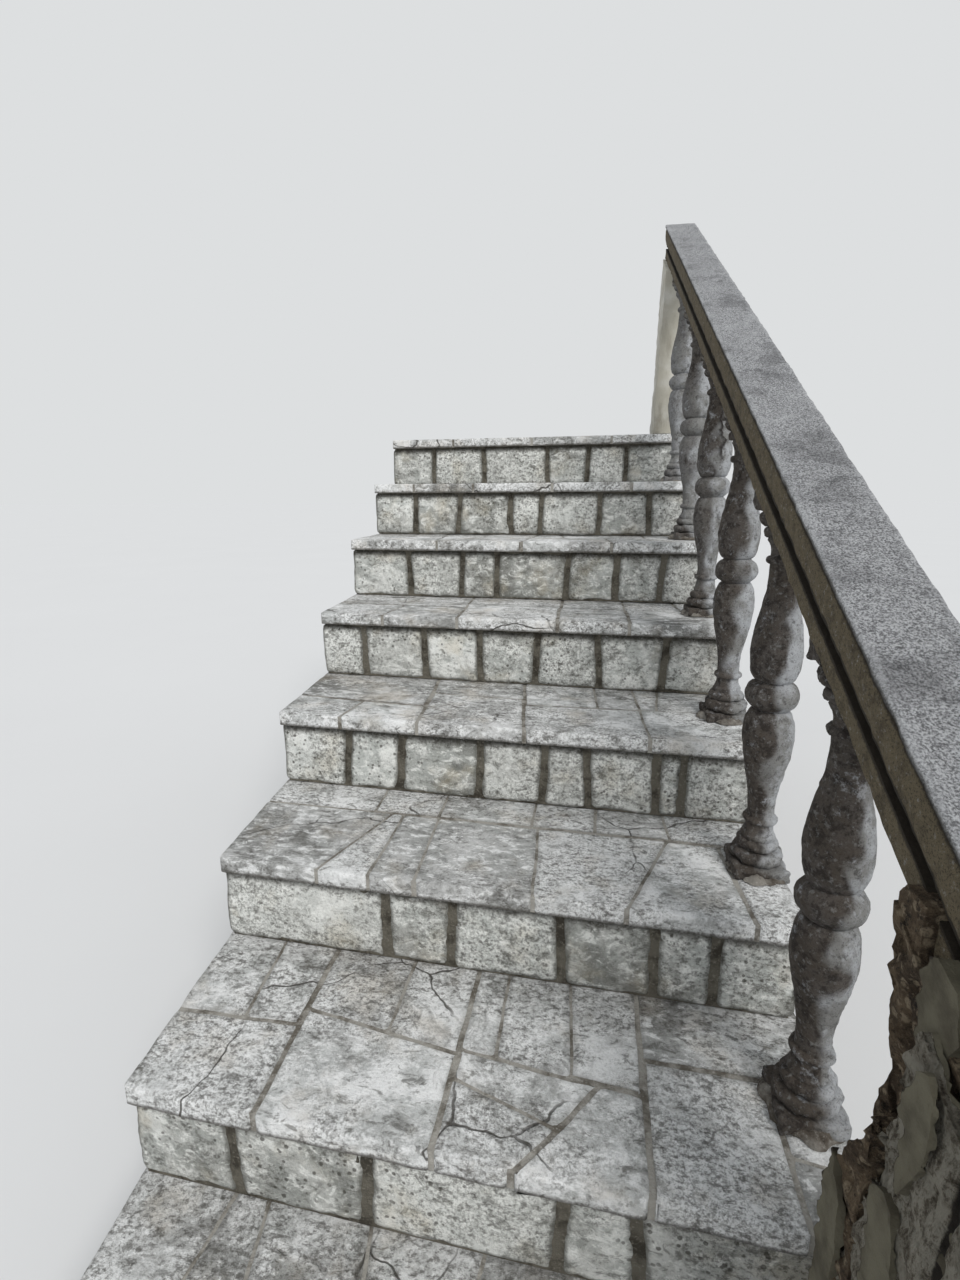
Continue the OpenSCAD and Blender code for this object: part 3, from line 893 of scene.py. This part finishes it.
def far_stones():
    """Rubble on the far side and on the back."""
    heights = course_heights(level_z(STEPS) - TREAD_T, 6)
    y0 = nosing_y(1) + NOSING_OVER + RISER_T + far_u(nosing_y(1)) * SKEW
    width = BACK_Y - y0
    far_x = EDGE_X - FLIGHT_W - (y0 - NOSING_1) * SPLAY
    ends = [((k - 1) * GOING, level_z(k) - TREAD_T, level_z(k - 1) - TREAD_T) for k in range(2, STEPS + 1)]
    cuts = rubble_cuts(width, heights, 32)
    cuts += [((end, low + 0.002), (end, high - 0.002)) for end, high, low in ends]

    def within(at):
        return all(at.x > end or at.y < low + 0.004 for end, high, low in ends)

    outline = [(0, 0), (width, 0), (width, heights[-1]), (0, heights[-1])]
    piece = stone_panel("far_side_stones", outline, cuts, RUBBLE_JOINT, RUBBLE_DEPTH, RUBBLE_ROUND, 0.06,
                        seed=42, corner=0.02, wobble=0.012, keep=within, relief=0.004, relief_size=0.07, bulge=0.006, uneven=0.003)
    place(piece, (-SPLAY, 1, 0), (0, 0, 1), (-1, 0, 0), (far_x, y0, 0))
    settle(piece, WALL_STONE, "rubble", "flight_core")
    back_w = WALL_X - landing_lo.x
    piece = stone_panel("back_stones", [(0, 0), (back_w, 0), (back_w, heights[-1]), (0, heights[-1])],
                        rubble_cuts(back_w, heights, 33), RUBBLE_JOINT, RUBBLE_DEPTH, RUBBLE_ROUND, 0.06,
                        seed=43, corner=0.02, wobble=0.012, relief=0.004, relief_size=0.07, bulge=0.006, uneven=0.003)
    place(piece, (1, 0, 0), (0, 0, 1), (0, 1, 0), (landing_lo.x, BACK_Y, 0))
    settle(piece, WALL_STONE, "rubble")
    bed("flight_core", "flight_mortar", WALL_MORTAR_IN, "rubble", WALL_MORTAR)


# The balustrade


BALUSTER_H = 0.697
PLINTH_W = 0.098
PLINTH_H = 0.020
BIG_ROLL = (0.047, 0.026)
SMALL_ROLL = (0.039, 0.020)
HOLLOW_H, HOLLOW_R = 0.032, 0.033
BEAD = (0.031, 0.014)
NECK_R, NECK_H = 0.024, 0.014
BELLY_R, SHOULDER_H = 0.044, 0.048
WAIST_R = 0.029
RING_R, RING_H = 0.046, 0.054
ROLL_STEPS = 8
CRACKED_BALUSTER = 4
CRACK_TURN = -80


def roll(bottom, radius, height):
    """A half-round moulding in outline."""
    half = height / 2
    angles = [-math.pi / 2 + math.pi * i / ROLL_STEPS for i in range(ROLL_STEPS + 1)]
    return [(radius - half + half * math.cos(a), bottom + half + half * math.sin(a)) for a in angles]


def baluster_outline():
    """Radius and height up the whole baluster: its lower half, and the same upside down."""
    mid = BALUSTER_H / 2
    big_top = PLINTH_H + BIG_ROLL[1]
    small_top = big_top + SMALL_ROLL[1]
    bead_low = small_top + HOLLOW_H
    neck = bead_low + BEAD[1] + NECK_H
    waist = mid - RING_H / 2
    belly = waist - SHOULDER_H
    low = [(0.001, PLINTH_H - 0.004)] + roll(PLINTH_H, *BIG_ROLL) + roll(big_top, *SMALL_ROLL)
    for i in range(1, 7):
        t = i / 6
        low.append((NECK_R + (HOLLOW_R - NECK_R) * (1 - t) ** 2, small_top + HOLLOW_H * t))
    low += roll(bead_low, *BEAD)
    for i in range(25):
        t = i / 24
        low.append((NECK_R + (BELLY_R - NECK_R) * (1 - math.cos(math.pi * t)) / 2, neck + (belly - neck) * t))
    for i in range(1, 11):
        a = math.pi / 2 * i / 10
        low.append((WAIST_R + (BELLY_R - WAIST_R) * math.cos(a), belly + SHOULDER_H * math.sin(a)))
    for i in range(9):
        a = -math.pi / 3 + math.pi / 3 * i / 8
        low.append((RING_R - RING_H / 2 + RING_H / 2 * math.cos(a), mid + RING_H / 2 * math.sin(a)))
    return low + [(r, BALUSTER_H - z) for r, z in reversed(low[:-1])]


def turned_body():
    """The baluster's body: a chain of points drawn up its outline, then spun."""
    outline = baluster_outline()
    bpy.ops.object.select_all(action="DESELECT")
    bpy.ops.mesh.primitive_plane_add(size=0.01)
    body = named("turned_body")
    edit(body)
    bpy.ops.mesh.merge(type="CENTER")
    bpy.ops.mesh.select_mode(type="VERT")
    bpy.ops.mesh.select_all(action="SELECT")
    bpy.ops.transform.translate(value=(outline[0][0], 0, outline[0][1]))
    for (r0, z0), (r1, z1) in zip(outline, outline[1:]):
        bpy.ops.mesh.extrude_region_move(TRANSFORM_OT_translate={"value": (r1 - r0, 0, z1 - z0)})
    bpy.ops.mesh.select_all(action="SELECT")
    bpy.ops.mesh.spin(steps=72, angle=2 * math.pi, center=(0, 0, 0), axis=(0, 0, 1))
    bpy.ops.mesh.select_all(action="SELECT")
    bpy.ops.mesh.remove_doubles(threshold=0.0001)
    leave()
    return body


def square_block(name, low, high):
    """A baluster's square end, its edges worn round."""
    bpy.ops.object.select_all(action="DESELECT")
    bpy.ops.mesh.primitive_cube_add(size=1, location=(0, 0, (low + high) / 2))
    block = named(name)
    edit(block)
    bpy.ops.transform.resize(value=(PLINTH_W - 0.001, PLINTH_W - 0.001, high - low))
    leave()
    bpy.ops.object.transform_apply(location=True, rotation=True, scale=True)
    use(block, "BEVEL", width=0.003, segments=2, limit_method="NONE")
    slice_up(block, (1, 0, 0), 0.008)
    slice_up(block, (0, 1, 0), 0.008)
    slice_up(block, (0, 0, 1), 0.008)
    return block


def under_rail(y):
    """Height of the rail's underside at y."""
    return rail_lo.z + SLOPE * (y - rail_lo.y)


def mortar_lump(name, at, size, level_at, normal, seed):
    """Rough mortar squeezed out round a baluster's foot or head, flat against the stone it lies on."""
    bpy.ops.object.select_all(action="DESELECT")
    bpy.ops.mesh.primitive_uv_sphere_add(segments=56, ring_count=20, radius=1)
    lump = named(name)
    edit(lump)
    bpy.ops.transform.resize(value=size, center_override=(0, 0, 0))
    if normal.z < 0:
        bpy.ops.transform.rotate(value=-PITCH, orient_axis="X", center_override=(0, 0, 0))
    bpy.ops.transform.translate(value=at)
    leave()
    roughen(lump, 0.011, 0.030, seed=seed)
    roughen(lump, 0.004, 0.008, seed=seed + 3)
    edit(lump)
    bpy.ops.mesh.bisect(plane_co=level_at, plane_no=normal, use_fill=True, clear_inner=True)
    bpy.ops.mesh.select_all(action="SELECT")
    bpy.ops.mesh.bisect(plane_co=(EDGE_X, 0, 0), plane_no=(1, 0, 0), use_fill=True, clear_outer=True)
    leave()
    outward(lump)
    soften(lump, 60)
    settle(lump, BED_MORTAR, "cast_stone")


def crack_at(number, centre, co):
    """Depth of the jagged crack in the upper vase of one baluster."""
    if number != CRACKED_BALUSTER:
        return 0.0
    turn = math.degrees(math.atan2(co.y - centre.y, co.x - centre.x))
    wander = 18 * noise.noise(Vector((0, 0, co.z * 38))) + 9 * noise.noise(Vector((3, 0, co.z * 150)))
    aside = abs(turn - CRACK_TURN - wander)
    along = step_between(0.40, 0.44, co.z - centre.z) * step_between(0.60, 0.55, co.z - centre.z)
    return along * step_between(9, 2, aside)


def balusters():
    """Six balusters, each cut to the rail's underside and weathered in its own way."""
    pattern = turned_body()
    foot = square_block("foot_block", 0.0005, PLINTH_H)
    cap = square_block("cap_block", BALUSTER_H - PLINTH_H, BALUSTER_H + 0.05)
    only(pattern)
    foot.select_set(True)
    cap.select_set(True)
    bpy.ops.object.join()
    for number, (lo, hi) in baluster_boxes.items():
        piece = pattern.copy()
        piece.data = pattern.data.copy()
        piece.name = piece.data.name = f"baluster_{number}_turned"
        bpy.context.scene.collection.objects.link(piece)
        centre = Vector(((lo.x + hi.x) / 2, (lo.y + hi.y) / 2, lo.z))
        piece.data.transform(Matrix.Translation(centre))
        edit(piece)
        at = Vector((0, centre.y, under_rail(centre.y)))
        square = Vector((0, -math.sin(PITCH), math.cos(PITCH)))
        bpy.ops.mesh.bisect(plane_co=at, plane_no=square, use_fill=True, clear_outer=True)
        leave()
        outward(piece)
        add_seam(piece, centre)
        ends = lambda co, c=centre: 1.0 + 2.2 * max(step_between(0.10, 0.03, co.z - c.z), step_between(0.60, 0.67, co.z - c.z))
        roughen(piece, 0.0016, 0.02, seed=number, weight=ends)
        roughen(piece, 0.0025, 0.006, seed=number + 9, octaves=2, weight=lambda co: max(0, noise.noise(co * 22)))
        roughen(piece, 0.006, 0.03, seed=number + 5, weight=lambda co: -max(0, noise.noise(co * 14) - 0.25), octaves=2)
        grown = 1.0 - 0.11 * (number - 1)
        # The left half is painted darker: partly lichen, partly painted shade.
        side = lambda co, c=centre: step_between(0.026, -0.020, co.x - c.x + 0.024 * noise.noise(co * 26))
        # The upper vase is painted darker as painted shade; the foot is a little darker too.
        shaded_top_dark_foot = lambda co, c=centre: 0.7 * step_between(0.42, 0.62, co.z - c.z) + 0.3 * step_between(0.09, 0.02, co.z - c.z)
        paint(piece, "lichen_and_shade_mask", lambda co: grown * min(1.2, side(co) + shaded_top_dark_foot(co)))
        paint(piece, "crack", lambda co, n=number, c=centre: crack_at(n, c, co))
        roughen(piece, 0.010, 1.0, weight=lambda co, n=number, c=centre: crack_at(n, c, co) * 0.5, sink=1.0)
        soften(piece, 50)
        settle(piece, CAST_STONE, "cast_stone", f"baluster_{number}")
        mortar_lump(f"baluster_{number}_foot_mortar", centre, (0.060, 0.062, 0.015), centre, Vector((0, 0, 1)), number)
        mortar_lump(f"baluster_{number}_head_mortar", at, (0.048, 0.062, 0.014), at, -square, number + 20)
    bpy.data.objects.remove(pattern)


def add_seam(piece, centre):
    """The ridge that a mould leaves, front and back."""
    for vertex in piece.data.vertices:
        out = Vector((vertex.co.x - centre.x, vertex.co.y - centre.y))
        if out.length > 0.02 and vertex.co.z > centre.z + PLINTH_H + 0.002:
            ridge = math.exp(-(out.x / 0.0022) ** 2) * 0.0011
            vertex.co.y += math.copysign(ridge, out.y)
    piece.data.update()


def rail_growth_and_shade(depth):
    """Dark growth and painted shade on the rail's sides: on the fillet under the top edge and in and about the groove.
    """
    fillet = step_between(0.0, 0.004, depth) * step_between(0.026, 0.010, depth)
    groove = step_between(0.044, 0.060, depth) * step_between(0.086, 0.074, depth)
    return max(fillet, groove)


def handrail():
    along = (0, math.cos(PITCH), math.sin(PITCH))
    square = (0, -math.sin(PITCH), math.cos(PITCH))
    piece = copy_of("handrail", "handrail_moulded")
    slice_up(piece, along, 0.011)
    slice_up(piece, (1, 0, 0), 0.009)
    slice_up(piece, square, 0.008)
    top = max(Vector(square).dot(v.co) for v in piece.data.vertices)
    half = rail_hi.x
    depth = lambda co: top - Vector(square).dot(co)
    paint(piece, "top", lambda co: step_between(0.006, 0.001, depth(co)))
    paint(piece, "arris", lambda co: step_between(0.012, 0.001, depth(co) + half - abs(co.x)) * (0.6 + 0.8 * noise.noise(co * 60)))
    paint(piece, "growth_and_shade", lambda co: rail_growth_and_shade(depth(co)))
    roughen(piece, 0.0016, 0.03, seed=3)
    roughen(piece, 0.0010, 0.012, seed=5, octaves=2)
    edge_wear = lambda co: step_between(0.016, 0.0, depth(co) + half - abs(co.x))
    roughen(piece, 0.004, 0.034, seed=8, weight=lambda co: -edge_wear(co) * max(0, noise.noise(co * 18)))
    soften(piece, 40)
    settle(piece, RAIL_STONE, "rail_stone", "handrail")


def upper_post():
    piece = copy_of("upper_post", "upper_post_rendered")
    for axis in ((1, 0, 0), (0, 1, 0), (0, 0, 1)):
        slice_up(piece, axis, 0.014)
    roughen(piece, 0.004, 0.06, seed=2)
    roughen(piece, 0.0015, 0.015, seed=4)
    soften(piece, 40)
    settle(piece, POST_RENDER, "post_render", "upper_post")


# Smooth skin left on the pier's inner side: outlines as places along the rail and heights, with the place of
# the outer face across the rail
PLATES = {
    "upper": (-0.0665, ((0.055, 0.897), (0.040, 0.908), (0.012, 0.900), (0.000, 0.865), (0.018, 0.828),
                       (0.034, 0.818), (0.050, 0.822), (0.057, 0.852))),
    "middle": (-0.0868, ((0.011, 0.827), (-0.006, 0.841), (-0.014, 0.830), (-0.018, 0.799), (-0.016, 0.769),
                         (-0.007, 0.745), (0.004, 0.722), (0.012, 0.702), (0.016, 0.722), (0.015, 0.770),
                         (0.026, 0.777))),
    "strip": (-0.0885, ((0.040, 0.683), (0.018, 0.696), (0.006, 0.692), (-0.006, 0.640), (0.010, 0.560),
                        (0.020, 0.500), (0.048, 0.490), (0.036, 0.585), (0.041, 0.632))),
    "leaf": (-0.0898, ((0.110, 0.634), (0.103, 0.618), (0.094, 0.606), (0.084, 0.594), (0.079, 0.545),
                       (0.082, 0.490), (0.094, 0.440), (0.119, 0.440), (0.119, 0.542), (0.115, 0.600))),
}
PLATE_T = {"upper": 0.014, "middle": 0.004, "strip": 0.004, "leaf": 0.007}
# Deep cracks there, from point to point
SPLITS = (((-0.045, 0.90), (-0.047, 0.83)), ((-0.047, 0.83), (-0.040, 0.76)), ((-0.040, 0.76), (-0.036, 0.66)),
          ((-0.036, 0.66), (-0.050, 0.52)))
SKIN_WHOLE_UNDER = 0.50
PIER_LEAN = 0.004


def to_line(point, start, end):
    """Distance from a point to the line between two others."""
    line = end - start
    share = min(1.0, max(0.0, (point - start).dot(line) / line.length_squared))
    return (point - start - line * share).length


def skin_left(co):
    """1 where the pier's smooth skin is left and 0 where it has come away."""
    if co.x > pier_lo.x + 0.02:
        return step_between(-0.32, -0.12, noise.noise(co * 5))
    return step_between(SKIN_WHOLE_UNDER + 0.03, SKIN_WHOLE_UNDER - 0.03, co.z)


def split_at(co):
    if co.x > pier_lo.x + 0.02:
        return 0.0
    at = Vector((co.y, co.z))
    wander = Vector((noise.noise(co * 30), noise.noise(co * 30 + Vector((7, 0, 0))))) * 0.008
    nearest = min(to_line(at + wander, Vector(a), Vector(b)) for a, b in SPLITS)
    return step_between(0.010, 0.002, nearest)


def sink_side(piece, depth_at):
    """Moves the pier's inner side inward, by as much as depth_at says."""
    for vertex in piece.data.vertices:
        if vertex.co.x < pier_lo.x + 0.003:
            vertex.co.x += depth_at(vertex.co)
    piece.data.update()


def lower_pier():
    core = copy_of("pier_core", "pier_core_broken")
    crumble(core)
    settle(core, PIER_CORE, "pier_rubble", "pier_core")
    coat = copy_of("pier_render", "pier_render_coat")
    for axis, step in (((1, 0, 0), 0.015), ((0, 1, 0), 0.006), ((0, 0, 1), 0.007)):
        slice_up(coat, axis, step)
    paint(coat, "skin", skin_left)
    paint(coat, "crack", split_at)
    sink_side(coat, lambda co: 0.004 * (1 - skin_left(co)) * (1 + noise.noise(co * 60)) + 0.012 * split_at(co)
              + PIER_LEAN * step_between(0.58, 0.86, co.z))
    roughen(coat, 0.002, 0.05, seed=9, sink=0.8)
    edge = lambda co: step_between(0.47, 0.52, co.z) * step_between(-0.06, -0.02, co.y)
    roughen(coat, 0.007, 0.016, seed=12, weight=edge, sink=0.3)
    soften(coat, 40)
    settle(coat, PIER_RENDER, "pier_render", "pier_render")
    for name, (face_x, outline) in PLATES.items():
        plate(f"pier_render_{name}", face_x, PLATE_T[name], [Vector(point) for point in outline])
    masonry_lump("pier_core_corner", (-0.011, 0.0885, 0.585), (0.152, 0.061, 0.31), (0.092, 0.663), (0.9, 0.43))
    masonry_lump("pier_core_head", (-0.036, 0.096, 0.900), (0.052, 0.044, 0.062), (0.112, 0.925), (0.8, 0.6))


def crumble(piece):
    """Breaks masonry up into lumps and hollows, but not where it meets the rail."""
    for axis in ((1, 0, 0), (0, 1, 0), (0, 0, 1)):
        slice_up(piece, axis, 0.006)
    free = lambda co: step_between(0.0, 0.03, under_rail(co.y) - co.z)
    roughen(piece, 0.008, 0.036, seed=6, octaves=3, sink=0.5, weight=free)
    roughen(piece, 0.003, 0.012, seed=7, octaves=3, weight=free)
    pits = lambda co: step_between(0.10, 0.35, noise.noise(co * 55)) * free(co)
    roughen(piece, 0.006, 1.0, seed=8, weight=pits, sink=1.0)
    edit(piece)
    bpy.ops.mesh.vertices_smooth(factor=0.5, repeat=1)
    leave()
    soften(piece, 60)


def masonry_lump(name, at, size, cut_at, cut_out):
    """A lump of the pier's broken masonry, cut off aslant up the stair."""
    bpy.ops.object.select_all(action="DESELECT")
    bpy.ops.mesh.primitive_cube_add(size=1)
    lump = named(name)
    edit(lump)
    bpy.ops.transform.resize(value=size, center_override=(0, 0, 0))
    bpy.ops.transform.translate(value=at)
    bpy.ops.mesh.bisect(plane_co=(0, *cut_at), plane_no=(0, *cut_out), use_fill=True, clear_outer=True)
    leave()
    crumble(lump)
    settle(lump, PIER_CORE, "pier_rubble")


def plate(name, face_x, thickness, outline):
    """A piece of smooth skin with a broken outline."""
    bpy.ops.object.select_all(action="DESELECT")
    bpy.ops.mesh.primitive_circle_add(vertices=len(outline), radius=0.05, fill_type="NGON")
    piece = named(name)
    for vertex, point in zip(piece.data.vertices, outline):
        vertex.co = (face_x, point.x, point.y)
    edit(piece)
    bpy.ops.mesh.extrude_region_move(TRANSFORM_OT_translate={"value": (thickness, 0, 0)})
    leave()
    slice_up(piece, (0, 1, 0), 0.004)
    slice_up(piece, (0, 0, 1), 0.004)
    outward(piece)
    sides = list(zip(outline, outline[1:] + outline[:1]))
    inside = lambda co: min(to_line(Vector((co.y, co.z)), a, b) for a, b in sides)
    paint(piece, "skin", lambda co: 1.0)
    middle = sum(point.x for point in outline) / len(outline)
    paint(piece, "crack", lambda co: 0.7 * step_between(0.004, 0.0, inside(co)) * step_between(0.0, 0.010, co.y - middle))
    rim = lambda co: step_between(0.012, 0.0, inside(co))
    roughen(piece, 0.0045, 0.016, seed=14, weight=rim)
    roughen(piece, 0.0012, 0.030, seed=15)
    soften(piece, 50)
    settle(piece, PIER_RENDER, "pier_render")


# The stage


CAMERA_AT = (-0.3582, -0.4435, 1.2641)
CAMERA_YAW, CAMERA_PITCH, CAMERA_ROLL = 0.1514, -0.2186, -0.0042
CAMERA_LENS = 17.83


def camera():
    """The photograph's own view: place, turn, tilt and roll."""
    data = bpy.data.cameras.new("view")
    data.sensor_fit = "AUTO"
    data.sensor_width = 36
    data.lens = CAMERA_LENS
    data.clip_start = 0.01
    eye = bpy.data.objects.new("view", data)
    bpy.context.scene.collection.objects.link(eye)
    turn, tilt = CAMERA_YAW, CAMERA_PITCH
    right = Vector((math.cos(turn), math.sin(turn), 0))
    ahead = Vector((-math.sin(turn) * math.cos(tilt), math.cos(turn) * math.cos(tilt), math.sin(tilt)))
    up = right.cross(ahead)
    c, s = math.cos(CAMERA_ROLL), math.sin(CAMERA_ROLL)
    right, up = c * right + s * up, c * up - s * right
    matrix = Matrix((right, up, -ahead)).transposed().to_4x4()
    matrix.translation = CAMERA_AT
    eye.matrix_world = matrix
    bpy.context.scene.camera = eye


def sun(name, towards, strength, spread, colour=(1, 1, 1)):
    """A far, wide lamp, so that the floor is as bright far off as it is near."""
    data = bpy.data.lights.new(name, "SUN")
    data.energy = strength
    data.angle = math.radians(spread)
    data.color = colour
    made = bpy.data.objects.new(name, data)
    bpy.context.scene.collection.objects.link(made)
    made.rotation_euler = Vector(towards).to_track_quat("-Z", "Y").to_euler()


def stage():
    bpy.ops.object.select_all(action="DESELECT")
    bpy.ops.mesh.primitive_plane_add(size=400, location=(0, 1, 0))
    floor = named("floor")
    f = Finish("floor_paint")
    f.shader.inputs["Roughness"].default_value = 0.95
    f.shader.inputs["Specular IOR Level"].default_value = 0.0
    f.link(f.over(rgb(226, 227, 228), rgb(230, 231, 232), f.grain(1.5)), f.shader.inputs["Base Color"])
    floor.data.materials.append(f.material)
    world = bpy.data.worlds.new("studio")
    bpy.context.scene.world = world
    world.use_nodes = True
    tree = world.node_tree
    seen = tree.nodes.new("ShaderNodeBackground")
    seen.inputs["Color"].default_value = rgb(221, 223, 224)
    light = tree.nodes["Background"]
    light.inputs["Color"].default_value = (0.94, 0.97, 1.0, 1)
    light.inputs["Strength"].default_value = 0.5
    rays = tree.nodes.new("ShaderNodeLightPath")
    choice = tree.nodes.new("ShaderNodeMixShader")
    tree.links.new(rays.outputs["Is Camera Ray"], choice.inputs[0])
    tree.links.new(light.outputs[0], choice.inputs[1])
    tree.links.new(seen.outputs[0], choice.inputs[2])
    tree.links.new(choice.outputs[0], tree.nodes["World Output"].inputs["Surface"])
    sun("key", (-0.5, 0.88, -0.95), 1.95, 25, (1, 0.98, 0.95))
    sun("fill", (0.7, 0.8, -0.5), 0.3, 40, (0.95, 0.98, 1))
    bpy.context.scene.view_settings.view_transform = "Standard"


camera()
for level in range(1, STEPS):
    flags(level, f"tread_{level}", GOING + NOSING_OVER + RISER_T)
flags(STEPS, "landing", BACK_Y - nosing_y(STEPS))
for level in range(1, STEPS + 1):
    blocks(level)
side_stones()
far_stones()
balusters()
handrail()
upper_post()
lower_pier()
stage()
